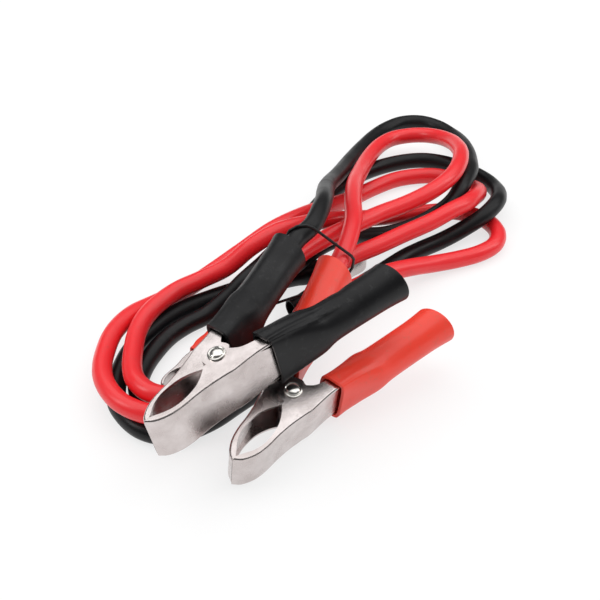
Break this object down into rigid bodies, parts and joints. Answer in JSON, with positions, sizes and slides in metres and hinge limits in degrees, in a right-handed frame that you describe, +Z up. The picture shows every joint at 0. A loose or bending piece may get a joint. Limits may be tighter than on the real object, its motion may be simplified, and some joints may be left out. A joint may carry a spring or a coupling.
{
  "type": "booster cables with spring clamps",
  "caption": "Red and black booster cables folded into a loose tied hank, with sprung sheet-steel battery clamps in red and black grip sleeves",
  "frame": {"origin": "on the surface the hank lies on, under the middle of the box round the four clamps", "axes": "+Z up, -Y towards the large clamps' jaws and the viewer, +X to the viewer's right"},
  "size_m": [0.2078, 0.3103, 0.0656],
  "materials": {
    "red_pvc_cable": "soft gloss, smooth",
    "black_pvc_cable": "satin, smooth",
    "red_sleeve": "satin dipped vinyl",
    "black_sleeve": "satin dipped vinyl",
    "nickel_steel": "nickel-plated stamped sheet, smudged",
    "rivet_steel": "bright domed head",
    "spring_steel": "drawn wire",
    "copper": "bare stranded copper",
    "tie": "plastic-coated wire"
  },
  "bodies": {
    "hank": {"red_cable": "red_pvc_cable", "black_cable": "black_pvc_cable", "tie": "tie", "black_front_cable_lever": "nickel_steel", "black_front_cable_sleeve": "black_sleeve", "black_front_rivet": "rivet_steel", "black_front_spring": "spring_steel", "black_front_strands": "copper", "red_front_cable_lever": "nickel_steel", "red_front_cable_sleeve": "red_sleeve", "red_front_rivet": "rivet_steel", "red_front_spring": "spring_steel", "red_front_strands": "copper", "black_rear_cable_lever": "nickel_steel", "black_rear_cable_sleeve": "black_sleeve", "black_rear_rivet": "rivet_steel", "black_rear_spring": "spring_steel", "black_rear_strands": "copper", "red_rear_cable_lever": "nickel_steel", "red_rear_cable_sleeve": "red_sleeve", "red_rear_rivet": "rivet_steel", "red_rear_spring": "spring_steel", "red_rear_strands": "copper"},
    "black_front_free_side": {"black_front_free_lever": "nickel_steel", "black_front_free_sleeve": "black_sleeve"},
    "red_front_free_side": {"red_front_free_lever": "nickel_steel", "red_front_free_sleeve": "red_sleeve"},
    "black_rear_free_side": {"black_rear_free_lever": "nickel_steel", "black_rear_free_sleeve": "black_sleeve"},
    "red_rear_free_side": {"red_rear_free_lever": "nickel_steel", "red_rear_free_sleeve": "red_sleeve"}
  },
  "joints": [
    {"name": "black_front_jaw_hinge", "type": "hinge", "parent": "hank", "child": "black_front_free_side", "pos_m": [-0.03476, -0.0472, 0.0397], "axis": [-0.1926, -0.069, 0.9788], "range_deg": [0, 20], "stiffness_Nm_per_rad": 1.5, "springref_deg": -28.65, "deforming": ["black_front_spring"]},
    {"name": "red_front_jaw_hinge", "type": "hinge", "parent": "hank", "child": "red_front_free_side", "pos_m": [-0.00746, -0.0418, 0.0169], "axis": [0.0781, -0.2446, 0.9665], "range_deg": [0, 20], "stiffness_Nm_per_rad": 1.5, "springref_deg": -28.65, "deforming": ["red_front_spring"]},
    {"name": "black_rear_jaw_hinge", "type": "hinge", "parent": "hank", "child": "black_rear_free_side", "pos_m": [0.01364, 0.0666, 0.0059], "axis": [0, 0, -1], "range_deg": [0, 20], "stiffness_Nm_per_rad": 0.15, "springref_deg": -28.65, "deforming": ["black_rear_spring"]},
    {"name": "red_rear_jaw_hinge", "type": "hinge", "parent": "hank", "child": "red_rear_free_side", "pos_m": [-0.05126, -0.0074, 0.0059], "axis": [0, 0, -1], "range_deg": [0, 20], "stiffness_Nm_per_rad": 0.15, "springref_deg": -28.65, "deforming": ["red_rear_spring"]}
  ]
}
